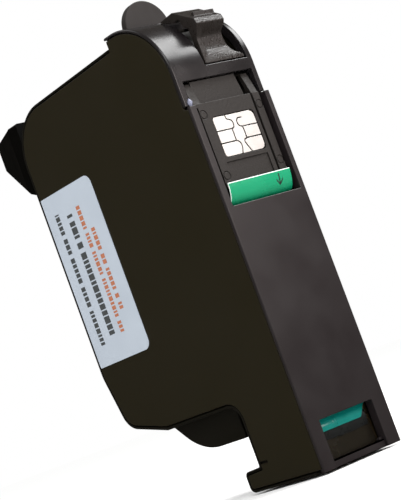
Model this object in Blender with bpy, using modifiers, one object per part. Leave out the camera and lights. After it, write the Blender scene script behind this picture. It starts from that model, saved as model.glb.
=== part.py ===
"""Thermal inkjet print cartridge in a clip-on front adapter, with a smart chip and a pull tape.

Metres, +Z up, nozzles down. X runs across the narrow front, -Y is the front with the chip on it,
and the label is on the -X side. Depths are counted back from the front cover's face, and an empty
at that face carries every piece, so the origin is the middle of the whole object's base.
"""

import math

import bmesh
import bpy
from mathutils import Vector

# Overall sizes
HALF_WIDTH = 0.0110  # from the middle to the front moulding's sides
HEAD_FRONT = -0.0002  # depth of the latch head, the foremost point
HANDLE_TIP = 0.0726  # depth of the handle's end, the rearmost point
TAB_TOP = 0.1024  # height of the thumb tab, the highest point
FRONT_FACE_Y = -(HEAD_FRONT + HANDLE_TIP) / 2

# Cutters that go right through
AHEAD = -0.0010  # depth in front of every moulding of the adapter
BELOW = -0.0010  # height under the whole cartridge
OUTSIDE = 0.0200  # half width beyond both sides

# Walls and gaps
SKIN = 0.0006  # lip of the front mouldings that frames the side covers
BODY_HALF = 0.0102  # half width of what lies between the side covers
COVER_INSIDE = 0.01025
COVER_OUTSIDE = 0.01085
RIM_HALF = 0.0107  # the frame's bead round the edge of each side cover
SEAM = 0.00025  # gap round a side cover
GAP = 0.0003  # gap between pieces that meet
OVERLAP = 0.0002  # by which shapes joined into one piece run into each other
FILM = 0.00015  # tape and film thickness

# Front adapter
PANEL_WALL = 0.0020
PANEL_TOP = 0.0540
RAIL_TOP = 0.0750
RAIL_LEFT = -0.0092  # inner edge of the left rail
RAIL_RIGHT = 0.0096  # inner edge of the right rail
WINDOW = (-0.0077, 0.0072, 0.0014, 0.0097)  # left, right, bottom, top
LIP_SETBACK = 0.0007
CROWN_FACE = 0.0012  # depth of the crown's upright part
CROWN_WALL = 0.0020
CROWN_RADIUS = 0.0142
DECK_TOP = 0.0963
DECK_END = 0.0173
BAR_BOTTOM = 0.0803
BAR_TOP = 0.0828
SLOT = (-0.0020, 0.0096, 0.0114)  # left, right and rear end of the latch's slot
TAB_RADIUS = 0.0058
TAB_THICK = 0.0016

# Latch
LATCH_LEFT = -0.0015
LATCH_RIGHT = 0.0060
LATCH_PIVOT = (0.0021, 0.0830)  # depth and height of the flexing root
LATCH_BOTTOM = BAR_TOP + GAP
LATCH_FACE = 0.0014
LATCH_BACK = 0.0028
HEAD_BOTTOM = 0.0911
HEAD_TOP = 0.0923
RIDGE = (0.0002, 0.0058, 0.0016, 0.0023, 0.0930, 0.0941)  # left, right, front, rear, bottom, top
FLARE_RIGHT = 0.0092
FLARE_TOP = 0.0885

# Chip carrier
CARRIER_HALF = 0.0088
CARRIER_FACE = 0.0009
CARRIER_BACK = 0.0023
CARRIER_BOTTOM = 0.0578
CARRIER_TOP = 0.0753
CARRIER_SLOT = (0.0064, 0.0069, 0.0017)  # left, right and depth of the slot beside the right leg
LEG_FOOT = 0.0730
LEG_BEND = 0.0745
LEG_TOP = 0.0799
LEG_BACK = 0.0020  # depth of the legs' rear face below the bend
LEFT_LEG_EDGE = -0.0068
RIGHT_LEG_EDGE = 0.0070
CHIP_HALF = 0.00545
CHIP_BOTTOM = 0.06375
CHIP_TOP = 0.07195
CHIP_CORNER = 0.0009
CHIP_CLEARANCE = 0.00015  # between the chip and its seat
CHIP_SEAT_BACK = 0.0015
DIE_WELL_BACK = 0.0021

# Tapes
TAPE_LEFT = -0.0082
TAPE_RIGHT = 0.0074
TAB_RIGHT = 0.0088
TAPE_DEPTH = 0.00208
TAPE_PIVOT = (0.0022, 0.0541)
TAB_END = (0.0003, 0.0586)  # depth and height of the tab's free end
TAPE_BOTTOM = 0.0072
TAPE_TOP = 0.0539
NOZZLE_TAPE_HALF = 0.0068
NOZZLE_TAPE_TOP = 0.0084
NOZZLE_TAPE_BOTTOM = 0.00035
NOZZLE_TAPE_THICK = 0.00012
LABEL_THICK = 0.0001
LABEL_GLUE = 0.00002  # between the label and the side cover

# Frame and reservoir
SNOUT_FRONT = 0.0029
NOSE_RECESS = 0.0015
WALL_FRONT = 0.0039
RING_HALF = 0.0086
RING_WALL = 0.0016
RESERVOIR = (0.0066, 0.0543, 0.0268, 0.0902)  # front, rear, bottom, top
RESERVOIR_TOP_RADIUS = 0.0090
RESERVOIR_BOTTOM_RADIUS = 0.0050
MEMBRANE = (0.0088, 0.0089)  # inner and outer face of a membrane
MEMBRANE_MARGIN = 0.0002
PLATE_HALF_GAP = 0.0076  # inner faces of the piston plates when full
PLATE_THICK = 0.0004
PLATE_SPAN = (0.0130, 0.0470, 0.0330, 0.0820)  # front, rear, bottom, top
PLATE_CORNER = 0.0040
SPRING_REACH = 0.0074
SPRING_MIDDLE = 0.0300
SPRING_HALF_LENGTH = 0.0130
SPRING_STRIP = 0.0003
SPRING_SPAN = (0.0535, 0.0615)  # bottom and top of the strip
STANDPIPE = (0.0035, 0.0070, 0.0140, 0.0242)  # half width, front, rear, top
STANDPIPE_FOOT = 0.0190
SCREEN_SPAN = (0.0001, 0.0003)  # from the standpipe's side to a screen's two faces
SCREEN_BOTTOM = 0.0202
SCREEN_MARGIN = 0.0005
FRAME_SHELF = 0.0188  # height to which the hump and its neck run into the frame
CHANNEL = (0.0016, 0.0086, 0.0124, 0.0232)  # half width, front, rear, top of the ink channel
INLET = (0.0060, 0.0082, 0.0128, 0.0206)  # half width, front, rear, bottom of the cross inlet
NOSE_HALF = 0.0080
NOSE_REAR = 0.0174
DIE_SEAT = (0.0024, 0.0035, 0.0168, 0.0023)  # half width, front, rear, top
COVER_SLIT = (0.0150, 0.0180, 0.0051, 0.0056)  # front, rear, bottom, top

# Handle
HANDLE_ROOT = 0.0579
HANDLE_SHOULDER = 0.0618
HANDLE_HALF = 0.0095
HANDLE_BOTTOM = 0.0752
HANDLE_SHOULDER_BOTTOM = 0.0770
HANDLE_TOP = 0.0925
HANDLE_TIP_HALF = 0.0056
HANDLE_TIP_SPAN = (0.0852, 0.0918)  # bottom and top of the tip

# Printhead
FLEX_FACE = 0.00255  # depth of the contacts on the snout's front
FLEX_THICK = 0.00015
FLEX_HALF = 0.0074
FLEX_TOP = 0.0180
FLEX_REAR = 0.0171
FLEX_BOTTOM = 0.00085
FLEX_WINDOW = (0.0021, 0.0040, 0.0164)  # half width, front, rear round the die
DIE_HALF = 0.0019
DIE_SPAN = (0.0038, 0.0166, 0.00135, 0.0020)  # front, rear, bottom, top
NOZZLE_SPAN = (0.0042, 0.0162, 0.0009, 0.00105)  # front, rear, bottom, top
BEAD_CENTRES = {"front": 0.0041, "rear": 0.0163}
BEAD_HEIGHT = 0.00082
BEAD_RADIUS = 0.00032
BEAD_HALF = 0.0022
BEAD_TRIM = 0.00079  # height above which a bead is cut flat

# Outlines: depth, height and corner radius
SIDE_COVER_OUTLINE = [
    (0.00085, 0.00080, 0.0003),
    (0.00085, 0.07450, 0.0003),
    (0.00210, 0.07490, 0.0002),
    (0.00210, 0.09545, 0.0133),
    (0.01705, 0.09545, 0.0003),
    (0.01705, 0.09310, 0.0003),
    (0.05690, 0.09205, 0.0105),
    (0.05690, 0.03300, 0.0080),
    (0.05420, 0.02140, 0.0040),
    (0.04200, 0.01850, 0.0010),
    (0.01735, 0.01850, 0.0040),
    (0.01735, 0.00390, 0.0003),
    (0.02240, 0.00360, 0.0006),
    (0.02240, 0.00080, 0.0008),
]
FRAME_OUTLINE = [
    (SNOUT_FRONT, 0.00000, 0.0),
    (SNOUT_FRONT, 0.01900, 0.0005),
    (WALL_FRONT, 0.02000, 0.0005),
    (WALL_FRONT, 0.09430, 0.0119),
    (0.05770, 0.09280, 0.0113),
    (0.05770, 0.03300, 0.0085),
    (0.05500, 0.02070, 0.0048),
    (0.04220, 0.01760, 0.0010),
    (0.01820, 0.01760, 0.0032),
    (0.01820, 0.00460, 0.0004),
    (0.02320, 0.00440, 0.0011),
    (0.02320, 0.00000, 0.0014),
]
FRAME_OPENING = [
    (0.00560, 0.02020, 0.0020),
    (0.00560, 0.09250, 0.0103),
    (0.05600, 0.09110, 0.0098),
    (0.05600, 0.03300, 0.0080),
    (0.05360, 0.02260, 0.0036),
    (0.04200, 0.01990, 0.0010),
    (0.01700, 0.01990, 0.0010),
]
HUMP_OUTLINE = [
    (0.02080, 0.01090, 0.0008),
    (0.03520, 0.01090, 0.0140),
    (0.04320, FRAME_SHELF, 0.0),
    (0.02080, FRAME_SHELF, 0.0),
]
HUMP_HALF = 0.0090
HUMP_NECK_HALF = 0.0065
HUMP_BOTTOM = 0.0109
FILL_PORT = (0.0280, 0.0016)  # depth and radius of the bore through the hump

ARC_STEP = math.radians(15)
COLLECTION = "inkjet_cartridge"


def clear_scene():
    for obj in list(bpy.data.objects):
        bpy.data.objects.remove(obj, do_unlink=True)


def new_collection(name):
    collection = bpy.data.collections.new(name)
    bpy.context.scene.collection.children.link(collection)
    return collection


def material(name, colour, roughness, metallic=0.0):
    made = bpy.data.materials.new(name)
    made.use_nodes = True
    shader = made.node_tree.nodes["Principled BSDF"]
    shader.inputs["Base Color"].default_value = (*colour, 1.0)
    shader.inputs["Roughness"].default_value = roughness
    shader.inputs["Metallic"].default_value = metallic
    return made


def rounded(corners):
    """The points of a closed outline whose corners (a, b, radius) are turned into arcs."""
    points = []
    for index, (a, b, radius) in enumerate(corners):
        corner = Vector((a, b))
        before = Vector(corners[index - 1][:2]) - corner
        after = Vector(corners[(index + 1) % len(corners)][:2]) - corner
        before.normalize()
        after.normalize()
        half = before.angle(after) / 2
        if radius <= 0 or half > math.radians(89.5):
            points.append(corner)
            continue
        centre = corner + (before + after).normalized() * (radius / math.sin(half))
        start = corner + before * (radius / math.tan(half)) - centre
        end = corner + after * (radius / math.tan(half)) - centre
        turn = start.angle_signed(end)
        steps = max(1, math.ceil(abs(turn) / ARC_STEP))
        for step in range(steps + 1):
            angle = -turn * step / steps
            cos, sin = math.cos(angle), math.sin(angle)
            points.append(centre + Vector((start.x * cos - start.y * sin, start.x * sin + start.y * cos)))
    return points


def rectangle(low_a, high_a, low_b, high_b, radius=0.0):
    return [
        (low_a, low_b, radius),
        (high_a, low_b, radius),
        (high_a, high_b, radius),
        (low_a, high_b, radius),
    ]


def wider(corners, margin):
    """A closed outline grown by margin along every side. Its corners run anticlockwise or clockwise."""
    area = 0.0
    for index, (a, b, _) in enumerate(corners):
        area += corners[index - 1][0] * b - a * corners[index - 1][1]
    outwards = math.copysign(margin, area)
    grown = []
    for index, (a, b, radius) in enumerate(corners):
        corner = Vector((a, b))
        come = (corner - Vector(corners[index - 1][:2])).normalized()
        go = (Vector(corners[(index + 1) % len(corners)][:2]) - corner).normalized()
        along = Vector((come.y, -come.x)) + Vector((go.y, -go.x))
        spread = 1 + come.dot(go)
        moved = corner + along * (outwards / spread)
        turn = (come.x * go.y - come.y * go.x) * area
        grown.append((moved.x, moved.y, max(radius + math.copysign(margin, turn), 0.0)))
    return grown


TURNS = {
    "side": (math.pi / 2, 0.0, math.pi / 2),  # outline is (depth, height), thickness along X
    "front": (math.pi / 2, 0.0, 0.0),  # outline is (x, height), thickness along the depth
    "top": (0.0, 0.0, 0.0),  # outline is (x, depth), thickness along Z
}
THICKNESS_AXIS = {"side": 0, "front": 1, "top": 2}
OUTLINE_AXES = {"side": (1, 2), "front": (0, 2), "top": (0, 1)}


def sheet(name, view, outlines, low, high, pivot=(0.0, 0.0, 0.0)):
    """A flat outline, with any holes after it, given thickness from low to high along the axis that
    the view looks along. The object's origin is at pivot."""
    across, up = OUTLINE_AXES[view]
    data = bpy.data.curves.new(name, "CURVE")
    data.dimensions = "2D"
    data.fill_mode = "BOTH"
    data.extrude = (high - low) / 2
    for corners in outlines:
        points = rounded(corners)
        spline = data.splines.new("POLY")
        spline.points.add(len(points) - 1)
        for spot, point in zip(spline.points, points):
            spot.co = (point.x - pivot[across], point.y - pivot[up], 0.0, 1.0)
        spline.use_cyclic_u = True
    curve = bpy.data.objects.new(name + "_outline", data)
    curve.rotation_euler = TURNS[view]
    curve.location[THICKNESS_AXIS[view]] = (low + high) / 2 - pivot[THICKNESS_AXIS[view]]
    bpy.context.scene.collection.objects.link(curve)
    bpy.context.view_layer.update()
    mesh = bpy.data.meshes.new_from_object(curve.evaluated_get(bpy.context.evaluated_depsgraph_get()))
    mesh.transform(curve.matrix_world)
    bpy.data.objects.remove(curve, do_unlink=True)
    welded = bmesh.new()
    welded.from_mesh(mesh)
    bmesh.ops.remove_doubles(welded, verts=welded.verts, dist=1e-6)
    bmesh.ops.recalc_face_normals(welded, faces=welded.faces)
    return finished(name, welded, mesh, pivot)


def block(name, low, high, pivot=(0.0, 0.0, 0.0)):
    """A box between two corners."""
    shape = bmesh.new()
    bmesh.ops.create_cube(shape, size=1.0)
    for vertex in shape.verts:
        for axis in range(3):
            middle = (low[axis] + high[axis]) / 2 - pivot[axis]
            vertex.co[axis] = vertex.co[axis] * (high[axis] - low[axis]) + middle
    return finished(name, shape, bpy.data.meshes.new(name), pivot)


def cylinder(name, axis, centre, radius, low, high, segments=24):
    """A round bar along one axis, from low to high."""
    shape = bmesh.new()
    bmesh.ops.create_cone(
        shape,
        cap_ends=True,
        segments=segments,
        radius1=radius,
        radius2=radius,
        depth=high - low,
    )
    turned = Vector((0, 0, 1)).rotation_difference(Vector([float(i == axis) for i in range(3)]))
    place = Vector(centre)
    place[axis] = (low + high) / 2
    for vertex in shape.verts:
        vertex.co = turned @ vertex.co + place
    return finished(name, shape, bpy.data.meshes.new(name), (0.0, 0.0, 0.0))


def finished(name, shape, mesh, pivot):
    """The object of a bmesh, with its origin at pivot. It is in no collection yet."""
    shape.to_mesh(mesh)
    shape.free()
    mesh.name = name
    obj = bpy.data.objects.new(name, mesh)
    obj.location = pivot
    return obj


def changed(obj, operation, others):
    """The object with other shapes cut away or joined on, each kept as a wire shape that isn't rendered."""
    for number, other in enumerate(others):
        other.hide_render = True
        other.display_type = "WIRE"
        other.parent = BASE
        CUTTERS.objects.link(other)
        modifier = obj.modifiers.new(f"{operation.lower()}_{number}", "BOOLEAN")
        modifier.operation = operation
        modifier.object = other
        modifier.solver = "EXACT"
    return obj


def cut(obj, *cutters):
    return changed(obj, "DIFFERENCE", cutters)


def join(obj, *others):
    return changed(obj, "UNION", others)


def either_side(side, inner, outer):
    """The span along X of a piece on the left or the right, from its two distances to the middle."""
    return (-outer, -inner) if side == "left" else (inner, outer)


def keep(obj, finish, softened=0.0):
    """Puts a finished piece in the cartridge, with its material and its edges broken by softened."""
    if softened:
        bevel = obj.modifiers.new("softened", "BEVEL")
        bevel.width = softened
        bevel.segments = 1
        bevel.limit_method = "ANGLE"
        bevel.angle_limit = math.radians(50)
    obj.data.materials.clear()
    obj.data.materials.append(finish)
    obj.data.shade_smooth()
    obj.data.set_sharp_from_angle(angle=math.radians(35))
    obj.parent = BASE
    PIECES.objects.link(obj)
    return obj


# Front adapter


def front_cover(finish):
    left, right, bottom, top = WINDOW
    behind = PANEL_WALL - AHEAD
    face = rectangle(-HALF_WIDTH, HALF_WIDTH, 0.0, RAIL_TOP)
    back = rectangle(-BODY_HALF, BODY_HALF, OVERLAP, RAIL_TOP - OVERLAP)
    cover = sheet("front_cover", "front", [face], 0.0, SKIN)
    backing = sheet("front_cover_backing", "front", [back], SKIN - OVERLAP, PANEL_WALL)
    above = RAIL_TOP + OVERLAP
    upper = block("cut_carrier_opening", (RAIL_LEFT, AHEAD, PANEL_TOP), (RAIL_RIGHT, behind, above))
    window = block("cut_window", (left, AHEAD, bottom), (right, behind, top))
    lip = block("cut_lip", (left, AHEAD, BELOW), (right, LIP_SETBACK, bottom + OVERLAP))
    join(cover, backing)
    return keep(cut(cover, upper, window, lip), finish)


def crown_profile(inset, thick):
    """Depth-height outline of the crown's bent wall, from its face set in by inset. The ends are
    set in too, by a quarter of that."""
    face = CROWN_FACE + inset
    top = DECK_TOP - inset
    foot = RAIL_TOP + GAP + inset / 4
    end = DECK_END - inset / 4
    outer = CROWN_RADIUS - inset
    return [
        (face, foot, 0.0),
        (face, top, outer),
        (end, top, 0.0),
        (end, top - thick, 0.0),
        (face + thick, top - thick, outer - thick),
        (face + thick, foot, 0.0),
    ]


def crown(finish):
    slot_left, slot_right, slot_end = SLOT
    inset = SKIN - OVERLAP
    skin = sheet("crown", "side", [crown_profile(0.0, SKIN)], -HALF_WIDTH, HALF_WIDTH)
    wall = sheet("crown_wall", "side", [crown_profile(inset, CROWN_WALL - inset)], -BODY_HALF, BODY_HALF)
    tab_outline = [
        (-TAB_RADIUS, DECK_TOP - CROWN_WALL / 2, 0.0),
        (TAB_RADIUS, DECK_TOP - CROWN_WALL / 2, 0.0),
        (TAB_RADIUS, TAB_TOP, TAB_RADIUS * 0.999),
        (-TAB_RADIUS, TAB_TOP, TAB_RADIUS * 0.999),
    ]
    tab_rear = DECK_END - 2 * OVERLAP
    tab = sheet("crown_thumb_tab", "front", [tab_outline], tab_rear - TAB_THICK, tab_rear)
    latch_slot = block("cut_latch_slot", (slot_left, AHEAD, BAR_TOP), (slot_right, slot_end, TAB_TOP))
    recess_rear = 2 * CROWN_WALL
    recess = block("cut_carrier_recess", (RAIL_LEFT, AHEAD, PANEL_TOP), (RAIL_RIGHT, recess_rear, BAR_BOTTOM))
    join(skin, wall, tab)
    return keep(cut(skin, latch_slot, recess), finish)


def latch(finish):
    """Springy arm whose head slopes up and back over the slot, with a barbed underside and a tail."""
    pivot = (0.0, *LATCH_PIVOT)
    profile = [
        (LATCH_FACE, LATCH_BOTTOM, 0.0),
        (LATCH_FACE, 0.0885, 0.0020),
        (HEAD_FRONT, HEAD_BOTTOM, 0.0004),
        (0.0002, HEAD_TOP, 0.0003),
        (0.0018, 0.0933, 0.0),
        (0.0058, 0.0958, 0.0004),
        (0.0099, 0.0955, 0.0),
        (0.0098, 0.0950, 0.0),
        (0.0061, 0.0937, 0.0),
        (0.0046, 0.0939, 0.0),
        (0.0039, 0.0918, 0.0),
        (LATCH_BACK, 0.0912, 0.0006),
        (LATCH_BACK, LATCH_BOTTOM, 0.0),
    ]
    arm = sheet("latch", "side", [profile], LATCH_LEFT, LATCH_RIGHT, pivot)
    flare_outline = [
        (LATCH_RIGHT - 5 * OVERLAP, LATCH_BOTTOM, 0.0),
        (FLARE_RIGHT, LATCH_BOTTOM, 0.0),
        (FLARE_RIGHT, LATCH_BOTTOM + 0.0005, 0.0),
        (0.0068, 0.0850, 0.0020),
        (LATCH_RIGHT - OVERLAP / 2, FLARE_TOP, 0.0),
        (LATCH_RIGHT - 5 * OVERLAP, FLARE_TOP, 0.0),
    ]
    flare = sheet("latch_flare", "front", [flare_outline], LATCH_FACE, LATCH_BACK - OVERLAP / 2)
    left, right, front, rear, bottom, top = RIDGE
    ridge = block("latch_ridge", (left, front, bottom), (right, rear, top))
    return keep(join(arm, flare, ridge), finish)


def chip_carrier(finish):
    body = block(
        "chip_carrier",
        (-CARRIER_HALF, CARRIER_FACE, CARRIER_BOTTOM),
        (CARRIER_HALF, CARRIER_BACK, CARRIER_TOP),
    )
    leg_profile = [
        (CARRIER_FACE, LEG_FOOT, 0.0),
        (CARRIER_FACE, LEG_BEND, 0.0030),
        (0.0024, LEG_TOP, 0.0),
        (0.0034, LEG_TOP, 0.0),
        (LEG_BACK, LEG_BEND, 0.0030),
        (LEG_BACK, LEG_FOOT, 0.0),
    ]
    left_leg = sheet("carrier_leg_left", "side", [leg_profile], -CARRIER_HALF, LEFT_LEG_EDGE)
    right_leg = sheet("carrier_leg_right", "side", [leg_profile], RIGHT_LEG_EDGE, CARRIER_HALF)
    slot_left, slot_right, slot_back = CARRIER_SLOT
    slot = block("cut_carrier_slot", (slot_left, 0.0, PANEL_TOP), (slot_right, slot_back, BAR_TOP))
    chip_seat = block(
        "cut_chip_seat",
        (-CHIP_HALF - CHIP_CLEARANCE, 0.0, CHIP_BOTTOM - CHIP_CLEARANCE),
        (CHIP_HALF + CHIP_CLEARANCE, CHIP_SEAT_BACK, CHIP_TOP + CHIP_CLEARANCE),
    )
    die_well = block("cut_die_well", (-0.0028, 0.0, 0.0652), (0.0028, DIE_WELL_BACK, 0.0705))
    lower_pocket = block("cut_lower_pocket", (-0.0060, 0.0, PANEL_TOP), (0.0053, CARRIER_FACE + GAP, 0.0627))
    join(body, left_leg, right_leg)
    return keep(cut(body, slot, chip_seat, die_well, lower_pocket), finish)


def chip_outline():
    return rectangle(-CHIP_HALF, CHIP_HALF, CHIP_BOTTOM, CHIP_TOP, CHIP_CORNER)


def chip_substrate(finish):
    return keep(sheet("chip_substrate", "front", [chip_outline()], 0.00122, 0.00142), finish)


def chip_contacts(finish):
    return keep(sheet("chip_contacts", "front", [chip_outline()], 0.00098, 0.00116), finish)


def chip_potting(finish):
    outline = rectangle(-0.0025, 0.0025, 0.0655, 0.0702, 0.0010)
    return keep(sheet("chip_potting", "front", [outline], 0.00148, 0.00200), finish, 0.0002)


# Tapes and label


def pull_tab(finish):
    """End of the pull tape that stands out of the slot above the front cover."""
    depth, height = TAPE_PIVOT
    end_depth, end_height = TAB_END
    outline = [
        (depth + FILM / 2, height + OVERLAP, 0.0),
        (depth - FILM / 2, height + OVERLAP, 0.0),
        (0.00105, 0.05680, 0.0040),
        (end_depth, end_height, 0.0),
        (end_depth + FILM, end_height, 0.0),
        (0.00105 + FILM, 0.05686, 0.0040),
    ]
    return keep(sheet("pull_tab", "side", [outline], TAPE_LEFT, TAB_RIGHT, (0.0, depth, height)), finish)


def pull_tape(finish):
    outline = rectangle(TAPE_LEFT, TAPE_RIGHT, TAPE_BOTTOM, TAPE_TOP, 0.0004)
    return keep(sheet("pull_tape", "front", [outline], TAPE_DEPTH, TAPE_DEPTH + FILM), finish)


def nozzle_tape(finish):
    """Clear film that seals the nozzles: down the snout's front and back under its nose."""
    outer = TAPE_DEPTH + FILM + 0.00007
    inner = outer + NOZZLE_TAPE_THICK
    lower, upper = NOZZLE_TAPE_BOTTOM, NOZZLE_TAPE_BOTTOM + NOZZLE_TAPE_THICK
    outline = [
        (inner, NOZZLE_TAPE_TOP, 0.0),
        (outer, NOZZLE_TAPE_TOP, 0.0),
        (outer, lower, 0.0003),
        (0.0169, lower, 0.0),
        (0.0169, upper, 0.0),
        (inner, upper, 0.00018),
    ]
    return keep(sheet("nozzle_tape", "side", [outline], -NOZZLE_TAPE_HALF, NOZZLE_TAPE_HALF), finish)


def label(finish):
    outline = [
        (0.0374, 0.0350, 0.0020),
        (0.0566, 0.0350, 0.0003),
        (0.0566, 0.0740, 0.0003),
        (0.0374, 0.0740, 0.0020),
    ]
    inner = -COVER_OUTSIDE - LABEL_GLUE
    return keep(sheet("label", "side", [outline], inner - LABEL_THICK, inner), finish)


# Pen body


def pen_frame(finish):
    """Peripheral frame with the snout, the hump behind it and the foot, open on both wide sides."""
    frame = sheet("pen_frame", "side", [FRAME_OUTLINE], -RIM_HALF, RIM_HALF)
    hump = sheet("frame_hump", "side", [HUMP_OUTLINE], -HUMP_HALF, HUMP_HALF)
    neck = block("frame_neck", (-HUMP_NECK_HALF, 0.0175, HUMP_BOTTOM), (HUMP_NECK_HALF, 0.0220, FRAME_SHELF))
    half, front, rear, top = STANDPIPE
    tower = block("frame_standpipe", (-half, front, STANDPIPE_FOOT), (half, rear, top))
    opening = sheet("cut_reservoir", "side", [FRAME_OPENING], -OUTSIDE, OUTSIDE)
    seats = []
    for side, (low, high) in {"left": (-OUTSIDE, -BODY_HALF), "right": (BODY_HALF, OUTSIDE)}.items():
        seats.append(sheet(f"cut_cover_seat_{side}", "side", [wider(SIDE_COVER_OUTLINE, SEAM)], low, high))
    half, front, rear, channel_top = CHANNEL
    channel = block("cut_channel", (-half, front, BELOW), (half, rear, channel_top))
    half, front, rear, bottom = INLET
    inlet = block("cut_inlet", (-half, front, bottom), (half, rear, channel_top))
    nose = block("cut_nose", (-NOSE_HALF, -AHEAD, BELOW), (NOSE_HALF, NOSE_REAR, NOSE_RECESS))
    half, front, rear, top = DIE_SEAT
    die_seat = block("cut_die_seat", (-half, front, 0.0), (half, rear, top))
    port_depth, port_radius = FILL_PORT
    port = cylinder("cut_fill_port", 2, (0.0, port_depth, 0.0), port_radius, 0.0090, 0.0220)
    cut(frame, opening)
    join(frame, hump, neck, tower)
    return keep(cut(frame, *seats, channel, inlet, nose, die_seat, port), finish)


def side_cover(side, finish):
    low, high = either_side(side, COVER_INSIDE, COVER_OUTSIDE)
    cover = sheet(f"side_cover_{side}", "side", [SIDE_COVER_OUTLINE], low, high)
    front, rear, bottom, top = COVER_SLIT
    slit = block(f"cut_cover_slit_{side}", (-OUTSIDE, front, bottom), (OUTSIDE, rear, top))
    return keep(cut(cover, slit), finish)


def handle(finish):
    """Pyramid-shaped grip on the frame's rear, with its underside sloping up to the tip."""
    base = [
        (HANDLE_ROOT, HANDLE_BOTTOM, 0.0),
        (HANDLE_SHOULDER, HANDLE_SHOULDER_BOTTOM, 0.0),
        (HANDLE_SHOULDER, HANDLE_TOP, 0.0008),
        (HANDLE_ROOT, HANDLE_TOP, 0.0),
    ]
    grip = sheet("handle", "side", [base], -HANDLE_HALF, HANDLE_HALF)
    low = (-HANDLE_HALF, HANDLE_SHOULDER - OVERLAP, HANDLE_SHOULDER_BOTTOM)
    taper = block("handle_taper", low, (HANDLE_HALF, HANDLE_TIP, HANDLE_TOP))
    tip_bottom, tip_top = HANDLE_TIP_SPAN
    for vertex in taper.data.vertices:
        if vertex.co.y > HANDLE_SHOULDER:
            vertex.co.x = math.copysign(HANDLE_TIP_HALF, vertex.co.x)
            vertex.co.z = tip_top if vertex.co.z > tip_bottom else tip_bottom
    return keep(join(grip, taper), finish)


# Reservoir


def reservoir_outline(inset):
    front, rear, bottom, top = RESERVOIR
    return [
        (front + inset, bottom + inset, RESERVOIR_BOTTOM_RADIUS - inset),
        (rear - inset, bottom + inset, RESERVOIR_BOTTOM_RADIUS - inset),
        (rear - inset, top - inset, RESERVOIR_TOP_RADIUS - inset),
        (front + inset, top - inset, RESERVOIR_TOP_RADIUS - inset),
    ]


def inner_frame(finish):
    rings = [reservoir_outline(0.0), reservoir_outline(RING_WALL)]
    return keep(sheet("inner_frame", "side", rings, -RING_HALF, RING_HALF), finish)


def membrane(side, finish):
    low, high = either_side(side, *MEMBRANE)
    return keep(sheet(f"membrane_{side}", "side", [reservoir_outline(MEMBRANE_MARGIN)], low, high), finish)


def piston_plate(side, finish):
    front, rear, bottom, top = PLATE_SPAN
    low, high = either_side(side, PLATE_HALF_GAP, PLATE_HALF_GAP + PLATE_THICK)
    outline = rectangle(front, rear, bottom, top, PLATE_CORNER)
    inner_face = min(low, high, key=abs)
    middle = (inner_face, (front + rear) / 2, (bottom + top) / 2)
    return keep(sheet(f"piston_plate_{side}", "side", [outline], low, high, middle), finish)


def bow_spring(finish):
    """Bowed hoop of spring strip that pushes the piston plates apart."""
    bend = 0.97  # corner radius as a share of the half width, so that the ends are nearly round
    loops = []
    for inset in (0.0, SPRING_STRIP):
        half, long = SPRING_REACH - inset, SPRING_HALF_LENGTH - inset
        loops.append(rectangle(-half, half, SPRING_MIDDLE - long, SPRING_MIDDLE + long, half * bend))
    return keep(sheet("bow_spring", "top", loops, *SPRING_SPAN), finish)


def filter_screen(side, finish):
    half, front, rear, top = STANDPIPE
    low, high = either_side(side, *[half + reach for reach in SCREEN_SPAN])
    outline = rectangle(front + SCREEN_MARGIN, rear - SCREEN_MARGIN, SCREEN_BOTTOM, top - 0.0004, 0.0005)
    return keep(sheet(f"filter_screen_{side}", "side", [outline], low, high), finish)


def fill_ball(finish):
    depth, bore = FILL_PORT
    play = 0.0001
    height = 0.0132
    shape = bmesh.new()
    bmesh.ops.create_uvsphere(shape, u_segments=20, v_segments=12, radius=bore - play)
    ball = finished("fill_ball", shape, bpy.data.meshes.new("fill_ball"), (0.0, depth, height))
    return keep(ball, finish)


# Printhead


def flex_circuit(finish):
    """Flexible circuit: contacts on the snout's front, bent under the nose round the die."""
    back, upper = FLEX_FACE + FLEX_THICK, FLEX_BOTTOM + FLEX_THICK
    outline = [
        (back, FLEX_TOP, 0.0),
        (FLEX_FACE, FLEX_TOP, 0.0),
        (FLEX_FACE, FLEX_BOTTOM, 0.0004),
        (FLEX_REAR, FLEX_BOTTOM, 0.0),
        (FLEX_REAR, upper, 0.0),
        (back, upper, 0.00025),
    ]
    flex = sheet("flex_circuit", "side", [outline], -FLEX_HALF, FLEX_HALF)
    half, front, rear = FLEX_WINDOW
    window = block("cut_flex_window", (-half, front, BELOW), (half, rear, upper - BELOW))
    return keep(cut(flex, window), finish)


def printhead_die(finish):
    front, rear, bottom, top = DIE_SPAN
    return keep(block("printhead_die", (-DIE_HALF, front, bottom), (DIE_HALF, rear, top)), finish)


def nozzle_plate(finish):
    front, rear, bottom, top = NOZZLE_SPAN
    return keep(block("nozzle_plate", (-DIE_HALF, front, bottom), (DIE_HALF, rear, top)), finish)


def encapsulant(end, finish):
    """Bead of resin over one end of the die's bonds, flat where it lies on the circuit."""
    spot = (0.0, BEAD_CENTRES[end], BEAD_HEIGHT)
    bead = cylinder(f"encapsulant_{end}", 0, spot, BEAD_RADIUS, -BEAD_HALF, BEAD_HALF, 12)
    reach = 3 * BEAD_RADIUS
    trim_low = (-BEAD_HALF - reach, spot[1] - reach, BEAD_TRIM)
    trim_high = (BEAD_HALF + reach, spot[1] + reach, BEAD_TRIM + reach)
    return keep(cut(bead, block(f"cut_bead_{end}", trim_low, trim_high)), finish)


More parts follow.
